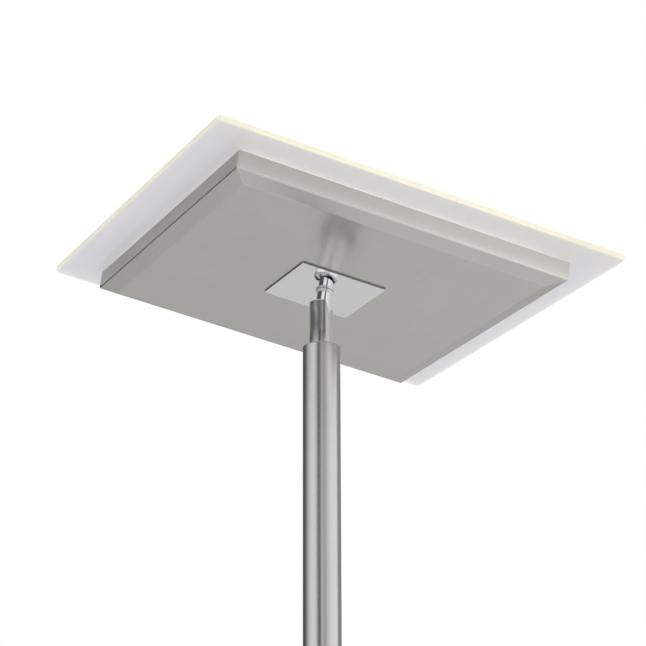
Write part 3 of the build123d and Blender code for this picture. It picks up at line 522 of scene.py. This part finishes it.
def satinGlass(glass):
    finish = newFinish("satinGlass")
    here = finish.headPlace()
    along, across = abs(here), abs(here.also("Y"))
    out = along.atLeast(across)
    half, corner = glass["side"] / 2, glass["corner"]
    one, other = (along - (half - corner)).atLeast(0), (across - (half - corner)).atLeast(0)
    edgeStart, edgeEnd = glass["edge"]
    edge = (one * one + other * other).power(0.5).between(corner - edgeStart, corner - edgeEnd)
    nearEdge = out.between(half - glass["nearEdge"], half)
    overLight = 1 - out.between(*glass["overLight"])
    seam = 1 - out.between(*glass["seam"])
    warmSide = (0 - here.also("Y")).between(*glass["warmSide"])
    grain = finish.noise(finish.place(onHead=True), 2600.0, 2.0, 0.6)
    cloud = finish.noise(finish.place(onHead=True), 30.0, 2.0, 0.5)
    tint = finish.blend(cloud, *(rgb(shade) for shade in glass["tint"]))
    tint = finish.blend(edge, tint, rgb(glass["edgeTint"]))
    shades = {part: rgb(shade) for part, shade in glass["glow"].items()}
    # the glass is no lamp, so all its glow is painted light: warmer on the -Y side, brighter near the edge, a painted
    # highlight along the seam over the rim, much brighter over the lit panel, and warm on the edge itself
    glow = finish.blend(warmSide, shades["cool"], shades["warm"])
    glow = finish.blend(nearEdge * 0.3, glow, shades["nearEdge"])
    glow = finish.blend(seam, glow, shades["seam"])
    glow = finish.blend(overLight, glow, shades["overLight"])
    glow = finish.blend(edge, glow, shades["edge"])
    return finish.skin({"Base Color": tint, "Roughness": 0.34 + grain * 0.1 - edge * 0.2, "IOR": 1.5,
                        "Transmission Weight": 0.40, "Coat Weight": 0.35, "Coat Roughness": 0.04,
                        "Emission Color": glow, "Emission Strength": 1.0,
                        "Normal": finish.bump(grain, 0.08, 0.00005)})


def makeGlass(glass):
    middle = (0, 0, glass["underside"] + glass["thickness"] / 2)
    plate = addSlab("glassPlate", (glass["side"], glass["side"], glass["thickness"]), middle, glass["corner"], 8)
    roundEdges(plate, glass["arris"], 3, 60)
    putOnHead(plate)
    smooth(plate, 30)
    handOver(plate, "head", satinGlass(glass), "satin_glass", "glass_plate")


makeGlass(glass)
print("glass made")

# housing of the head: a pressed pan with a sloped border and an upright rim

housing = {"side": 0.238, "slopeIn": 0.0107, "slopeRise": 0.0042, "rim": 0.0127, "sheet": 0.0012, "fold": 0.0007,
           "lip": 0.005, "underside": 0.0165, "neckHole": 0.0042, "studHole": 0.0017, "studs": 0.044,
           "below": 0.005, "above": 0.003}


def makeHousing(housing):
    pan = addPan("headHousing", housing["side"], housing["slopeIn"], housing["slopeRise"], housing["rim"],
                 housing["sheet"], housing["fold"], housing["lip"])
    pan.location = (0, 0, housing["underside"])
    bakePlace(pan)
    low, high = housing["underside"] - housing["below"], housing["underside"] + housing["above"]
    cutAway(pan, housing["neckHole"], low, high)
    for corner in fourCorners(housing["studs"]):
        cutAway(pan, housing["studHole"], low, high, corner)
    putOnHead(pan)
    smooth(pan, 40)
    handOver(pan, "head", sheetNickel, "brushed_nickel", "head_housing")


makeHousing(housing)
print("housing made")

# chrome cover plate under the housing, with the neck's hole and four studs

cover = {"side": 0.062, "thickness": 0.001, "corner": 0.0015, "edge": 0.0002, "underside": 0.0155, "hole": 0.0045,
         "stud": 0.0015, "studTop": 0.0223}


def makeCover(cover):
    middle = (0, 0, cover["underside"] + cover["thickness"] / 2)
    plate = addSlab("coverPlate", (cover["side"], cover["side"], cover["thickness"]), middle, cover["corner"])
    cutAway(plate, cover["hole"], -0.1, 0.1)
    roundEdges(plate, cover["edge"], 2, 50)
    for corner in fourCorners(housing["studs"]):
        weldOn(plate, cover["stud"], middle[2], cover["studTop"], corner)
    putOnHead(plate)
    smooth(plate, 30)
    handOver(plate, "head", plateChrome, "polished_chrome", "cover_plate")


makeCover(cover)
print("cover plate made")

# neck, collar, ball and socket, all turned parts, measured from the ball's middle

neck = {"radius": 0.0048, "thread": 0.004, "bore": 0.0032, "bottom": 0.007, "top": 0.0247, "shoulder": 0.0155,
        "edge": 0.0003, "gap": 0.00005, "collar": 0.006, "collarHeight": 0.002, "collarEdge": 0.00085}
joint = {"ball": 0.0065, "stem": 0.004, "spigot": 0.0032, "bore": 0.0019, "shoulder": 0.007, "spigotTop": 0.014,
         "socket": 0.008, "socketBore": 0.0067, "sphere": 0.00665, "rise": 0.0068, "height": 0.0313, "mouth": 0.0071,
         "lip": 0.0056, "edge": 0.0007}


def arc(radius, start, end, count=14):  # points of a vertical circle, angles counted from straight up
    turns = [math.radians(start + (end - start) * step / count) for step in range(count + 1)]
    return [(radius * math.sin(turn), radius * math.cos(turn)) for turn in turns]


def makeNeck(neck):
    tube = addTurned("neckTube", [(neck["bore"], neck["bottom"]), (neck["radius"], neck["bottom"]),
                                  (neck["radius"], neck["shoulder"]), (neck["thread"], neck["shoulder"]),
                                  (neck["thread"], neck["top"]), (neck["bore"], neck["top"]),
                                  (neck["bore"], neck["bottom"])], 72)
    roundEdges(tube, neck["edge"], 3)
    putOnHead(tube)
    smooth(tube)
    handOver(tube, "head", headChrome, "polished_chrome", "neck_tube")
    low, high = neck["shoulder"] - neck["collarHeight"], neck["shoulder"]
    ring = addTube("neckCollar", neck["radius"] + neck["gap"], neck["collar"], low, high)
    roundEnds(ring, neck["collar"], [(high, neck["collarEdge"]), (low, neck["collarEdge"])], 6)
    putOnHead(ring)
    smooth(ring)
    handOver(ring, "head", headChrome, "polished_chrome", "neck_collar")


def makeJoint(joint):
    stemAngle = math.degrees(math.asin(joint["stem"] / joint["ball"]))
    boreAngle = 180 - math.degrees(math.asin(joint["bore"] / joint["ball"]))
    outline = [(joint["bore"], joint["spigotTop"]), (joint["spigot"], joint["spigotTop"]),
               (joint["spigot"], joint["shoulder"]), (joint["stem"], joint["shoulder"])]
    outline += arc(joint["ball"], stemAngle, boreAngle, 26) + [(joint["bore"], joint["spigotTop"])]
    stem = addTurned("ballStem", outline, 72)
    putOnHead(stem)
    smooth(stem)
    handOver(stem, "stem", chrome, "polished_chrome", "ball_stem")
    lipAngle = math.degrees(math.asin(joint["lip"] / joint["sphere"]))
    lipHeight = joint["sphere"] * math.cos(math.radians(lipAngle))
    mouthHeight = lipHeight + joint["mouth"] - joint["lip"]
    foot, edge = joint["rise"] - joint["height"], joint["edge"]
    outline = [(joint["socketBore"], foot), (joint["socket"], foot)]
    outline += [(joint["socket"] - edge + out, joint["rise"] - edge + up) for out, up in arc(edge, 90, 0, 6)]
    outline += [(joint["mouth"], joint["rise"]), (joint["mouth"], mouthHeight), (joint["lip"], lipHeight)]
    outline += arc(joint["sphere"], lipAngle, 90, 12)[1:]
    outline += [(joint["socketBore"], 0), (joint["socketBore"], foot)]
    socket = addTurned("jointSocket", outline)
    socket.location = ball
    bakePlace(socket)
    smooth(socket)
    handOver(socket, "stand", chrome, "polished_chrome", "joint_socket")


makeNeck(neck)
makeJoint(joint)
print("neck and ball joint made")

# pole: three tubes with softened ends, and the cap that carries the joint

pole = {"radius": 0.0125, "bore": 0.0113, "edge": 0.0008, "seam": 0.0003, "capHole": 0.00505, "capEdge": 0.00025,
        "tubes": [("poleLower", "pole_lower"), ("poleMiddle", "pole_middle"), ("poleUpper", "pole_upper")]}


def makePole(pole):
    for name, node in pole["tubes"]:
        low, high = (corner[2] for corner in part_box(node))
        tube = addTube(name, pole["bore"], pole["radius"], low, high, 96)
        topEdge = pole["edge"] if node == "pole_upper" else pole["seam"]
        roundEnds(tube, pole["radius"], [(high, topEdge), (low, pole["seam"])])
        smooth(tube, 40)
        handOver(tube, "stand", poleNickel, "brushed_nickel", node)
    low, high = (corner[2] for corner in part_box("pole_cap"))
    cap = addTube("poleCap", pole["capHole"], pole["bore"], low, high)
    roundEdges(cap, pole["capEdge"], 2)
    smooth(cap)
    handOver(cap, "stand", poleNickel, "brushed_nickel", "pole_cap")


makePole(pole)
print("pole made")

# softer materials, each with its own grain

def moulded(name, shade, grain=900.0, rough=0.5, depth=0.00004, spread=0.08, extra=None):
    # a plastic, rubber or paint: fine texture, slow colour drift and a bump
    finish = newFinish(name)
    fine = finish.noise(finish.place(), grain, 3.0, 0.55)
    slow = finish.noise(finish.place(), 18.0, 2.0, 0.5)
    sockets = {"Base Color": finish.blend(fine * 0.5 + slow * 0.5, rgb(shade, 1 - spread), rgb(shade, 1 + spread)),
               "Roughness": fine * 0.16 + (rough - 0.08), "Normal": finish.bump(fine, 0.35, depth)}
    sockets.update(extra or {})
    return finish.skin(sockets)


def plated(name, shade, rough=0.32, scale=420.0):  # zinc, aluminium and blued steel: cloudy crystals under a thin sheen
    finish = newFinish(name)
    cells = finish.node("TexVoronoi", None, {"Vector": finish.place(), "Scale": scale}, give="Distance")
    slow = finish.noise(finish.place(), 50.0, 3.0, 0.6)
    return finish.skin({"Base Color": finish.blend(cells * 0.6 + slow * 0.5, rgb(shade, 0.86), rgb(shade, 1.1)),
                        "Metallic": 1.0, "Roughness": slow * 0.16 + (rough - 0.08),
                        "Normal": finish.bump(cells, 0.1, 0.00004)})


def pressedFelt(name):
    finish = newFinish(name)
    hair = finish.noise(finish.place(stretch=(1, 3.2, 1)), 1400.0, 4.0, 0.7)
    tuft = finish.noise(finish.place(), 240.0, 3.0, 0.6)
    dark, light = rgb((0.018, 0.018, 0.02)), rgb((0.085, 0.085, 0.092))
    return finish.skin({"Base Color": finish.blend(hair * 0.6 + tuft * 0.4, dark, light),
                        "Roughness": 0.88 + hair * 0.1, "Sheen Weight": 0.35, "Sheen Roughness": 0.4,
                        "Normal": finish.bump(hair + tuft, 0.8, 0.0004)})


def litOpal(name, pitch, side, border):  # the lamps behind the panel show as soft spots
    finish = newFinish(name)
    here = finish.headPlace()
    rows, columns = ((line * (math.tau / pitch) + math.pi).cosine() for line in (here, here.also("Y")))
    darker = outFromMiddle(here).between(side / 2 - border, side / 2)
    fine = finish.noise(finish.place(onHead=True), 1200.0, 2.0, 0.5)
    light = (rows * columns * 0.05 + 0.93) * (1 - darker * 0.35)
    glow = finish.blend(light, rgb((0.5, 0.46, 0.38)), rgb((1.0, 0.965, 0.88)))
    return finish.skin({"Base Color": finish.blend(fine, rgb((0.86, 0.85, 0.82)), rgb((0.92, 0.91, 0.88))),
                        "Roughness": 0.38 + fine * 0.1, "Emission Color": glow, "Emission Strength": 1.4,
                        "Normal": finish.bump(fine, 0.1, 0.00003)})


def glowingSilicone(name):
    finish = newFinish(name)
    fine = finish.noise(finish.place(onHead=True), 700.0, 2.0, 0.5)
    return finish.skin({"Base Color": finish.blend(fine, rgb((0.86, 0.84, 0.78)), rgb((0.93, 0.91, 0.85))),
                        "Roughness": 0.45 + fine * 0.1, "Emission Strength": 0.55,
                        "Emission Color": finish.blend(fine, rgb((0.95, 0.88, 0.70)), rgb((1.0, 0.94, 0.80))),
                        "Normal": finish.bump(fine, 0.15, 0.00004)})


phosphorGlow = {"Emission Color": rgb((1.0, 0.90, 0.72)), "Emission Strength": 2.0}
milky = {"Subsurface Weight": 0.2, "Subsurface Scale": 0.002}
finishes = {
    "brushed_nickel": coverNickel,
    "polished_chrome": chrome,
    "clear_silicone": glowingSilicone("clearSilicone"),
    "white_plastic": moulded("whitePlastic", (0.78, 0.78, 0.75), 800.0, 0.45),
    "bare_aluminium": plated("rolledAluminium", (0.72, 0.73, 0.74), 0.36, 260.0),
    "board_white": moulded("boardWhite", (0.84, 0.84, 0.81), 500.0, 0.34),
    "board_green": moulded("boardGreen", (0.04, 0.22, 0.10), 500.0, 0.32),
    "led_phosphor": moulded("lampPhosphor", (0.93, 0.80, 0.30), 900.0, 0.4, extra=phosphorGlow),
    "zinc_steel": plated("zincSteel", (0.66, 0.67, 0.68)),
    "spring_steel": plated("springSteel", (0.34, 0.34, 0.37), 0.28, 300.0),
    "nylon": moulded("nylon", (0.82, 0.80, 0.73), 600.0, 0.4, extra=milky),
    "lead_sheath": moulded("leadSheath", (0.80, 0.80, 0.77), 1200.0, 0.42),
    "wire_blue": moulded("wireBlue", (0.05, 0.15, 0.48), 1200.0, 0.4),
    "black_plastic": moulded("blackPlastic", (0.028, 0.028, 0.030), 1100.0, 0.46, 0.00007, 0.2),
    "component_dark": moulded("componentDark", (0.05, 0.06, 0.075), 700.0, 0.38, 0.00004, 0.2),
    "cast_iron": moulded("castIron", (0.06, 0.06, 0.062), 320.0, 0.62, 0.0004, 0.3),
    "black_steel": moulded("powderBlack", (0.030, 0.030, 0.032), 1500.0, 0.5, 0.00008, 0.2),
    "black_felt": pressedFelt("pressedFelt"),
}
print("soft materials mixed")

# the lit panel under the glass

diffuser = {"side": 0.226, "thickness": 0.002, "corner": 0.003, "arris": 0.0004, "pitch": 0.024, "border": 0.022}


def makeDiffuser(diffuser):
    low, high = (Vector(corner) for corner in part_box("diffuser"))
    middle = (0, 0, ((low + high) / 2 - ball).dot(headNormal))
    size = (diffuser["side"], diffuser["side"], diffuser["thickness"])
    panel = addSlab("diffuserPanel", size, middle, diffuser["corner"])
    roundEdges(panel, diffuser["arris"], 2, 60)
    putOnHead(panel)
    smooth(panel)
    material = litOpal("litOpal", diffuser["pitch"], diffuser["side"], diffuser["border"])
    handOver(panel, "head", material, "opal_acrylic", "diffuser")


makeDiffuser(diffuser)
print("lit panel made")

# dimmer: a thicker length of pole with a fluted knob on a milled flat

dimmer = {"radius": 0.016, "bore": 0.0145, "edge": 0.0008, "face": 0.0152, "faceRadius": 0.008, "hole": 0.00355,
          "drillEnd": 0.03, "knobRadius": 0.010, "knobEdge": 0.0009, "flutes": 24, "fluteDepth": 0.0006, "band": 0.0025,
          "shaft": 0.00305, "nut": 0.006, "nutDepth": 0.002,
          "pointer": (0.0009, 0.0055, 0.0004), "pointerInset": 0.0018, "pointerEdge": 0.00015}


def makeDimmerShell(dimmer):
    low, high = (corner[2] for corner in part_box("dimmer_housing"))
    shell = addTube("dimmerShell", dimmer["bore"], dimmer["radius"], low, high, 120)
    roundEnds(shell, dimmer["radius"], [(low, dimmer["edge"]), (high, dimmer["edge"])])
    cutAway(shell, dimmer["faceRadius"], dimmer["face"], dimmer["drillEnd"], move=putOnDimmer)
    cutAway(shell, dimmer["hole"], 0, dimmer["drillEnd"], move=putOnDimmer)
    smooth(shell, 40)
    handOver(shell, "stand", poleNickel, "brushed_nickel", "dimmer_housing")


def makeKnob(dimmer):
    radius, perFlute = dimmer["knobRadius"], 6
    low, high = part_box("dimmer_knob")
    near, far = -high[1], -low[1]
    bandStart, shaftEnd, nutRoom = far - dimmer["band"], -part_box("dimmer_shaft")[0][1], near + dimmer["nutDepth"]
    turns = dimmer["flutes"] * perFlute
    knob = addTurned("dimmerKnob", [(0, shaftEnd), (dimmer["shaft"], shaftEnd), (dimmer["shaft"], nutRoom),
                                    (dimmer["nut"], nutRoom), (dimmer["nut"], near), (radius, near),
                                    (radius, bandStart), (radius, far), (0, far)], turns)
    editMesh(knob)

    def inFlute(place, part):
        step = math.atan2(place.y, place.x) / math.tau * turns
        return (round(step) % perFlute == 0 and place.xy.length > radius - nearby
                and place.z < far - dimmer["band"] / 2)

    pick(knob, "VERT", inFlute)
    inside = 1 - dimmer["fluteDepth"] / radius
    bpy.ops.transform.resize(value=(inside, inside, 1), center_override=(0, 0, near))
    pick(knob, "EDGE", lambda place, part: abs(place.z - far) < samePlace and place.xy.length > radius * 0.99)
    bevelPicked(dimmer["knobEdge"], 5)
    putOnDimmer(knob)
    smooth(knob, 32)
    handOver(knob, "dimmer_dial", knobNickel, "brushed_nickel", "dimmer_knob")
    width, length, thick = dimmer["pointer"]
    place = (0, radius - dimmer["pointerInset"] - length / 2, far)
    pointer = addBlock("knobPointer", (width, length, thick), place)
    roundEdges(pointer, dimmer["pointerEdge"], 2, 60)
    putOnDimmer(pointer)
    smooth(pointer)
    handOver(pointer, "dimmer_dial", finishes["black_plastic"], "black_plastic")


def spunNickel(name):  # fine rings turned into the knob's front
    metal = newFinish(name)
    middle = Vector(joints["dimmer_turn"]["pos_m"])
    here = metal.node("Mapping", None, {"Vector": metal.place(), "Location": -middle, "Scale": (1, 0, 1)})
    out = metal.node("VectorMath", {"operation": "LENGTH"}, {0: here}, give="Value")
    rings = metal.node("TexNoise", {"noise_dimensions": "1D"}, {"W": out * 9000, "Scale": 1.0, "Detail": 2.0})
    tint = metal.blend(rings, rgb((0.50, 0.492, 0.47)), rgb((0.62, 0.61, 0.585)))
    return metal.skin({"Base Color": tint, "Metallic": 1.0, "Roughness": rings * 0.12 + 0.18,
                       "Normal": metal.bump(rings, 0.2, 0.00003)})


knobNickel = spunNickel("spunNickel")
makeDimmerShell(dimmer)
makeKnob(dimmer)
print("dimmer made")

# base: a pressed cover over the weight, a felt pad under it, and the cord's inlet at the back

base = {"side": 0.270, "slopeIn": 0.012, "slopeRise": 0.005, "sheet": 0.0015, "fold": 0.0016, "inlet": 0.00605,
        "inletDrill": 0.012, "studHole": 0.0052, "below": 0.004, "above": 0.002,
        "feltCorner": 0.016, "feltEdge": 0.0007, "screwHead": 0.004, "screwHole": 0.006, "feltDrill": 0.01}


def makeBaseCover(base):
    foot, top = (corner[2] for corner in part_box("base_cover"))
    cover = addPan("baseCover", base["side"], base["slopeIn"], base["slopeRise"], top - foot - base["slopeRise"],
                   base["sheet"], base["fold"])
    cover.rotation_euler = (math.pi, 0, 0)
    cover.location = (0, 0, top)
    bakePlace(cover)

    def putAtInlet(drill):
        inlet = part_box("cord_gland")
        drill.rotation_euler = (math.radians(90), 0, 0)
        drill.location = [(one + other) / 2 for one, other in zip(*inlet)]
        bakePlace(drill)

    cutAway(cover, base["inlet"], -base["inletDrill"], base["inletDrill"], move=putAtInlet)
    cutAway(cover, base["studHole"], top - base["below"], top + base["above"])
    smooth(cover, 40)
    handOver(cover, "stand", coverNickel, "brushed_nickel", "base_cover")


def makeFelt(base):
    low, high = (Vector(corner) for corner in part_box("base_felt"))
    felt = addSlab("feltPad", high - low, (low + high) / 2, base["feltCorner"], 12)
    screws = 2 * (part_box("base_screws")[1][0] - base["screwHead"])
    for corner in fourCorners(screws):
        cutAway(felt, base["screwHole"], -base["feltDrill"], base["feltDrill"], corner)
    roundEdges(felt, base["feltEdge"], 3, 60)
    smooth(felt)
    handOver(felt, "stand", finishes["black_felt"], "black_felt", "base_felt")


makeBaseCover(base)
makeFelt(base)
print("base made")

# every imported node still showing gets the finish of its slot

for part in frame["record"]["subparts"]:
    if part["node"] not in replaced:
        for slot in frame["nodes"][part["node"]].material_slots:
            slot.material = finishes[part["material_slot"]]
print("finishes given out")
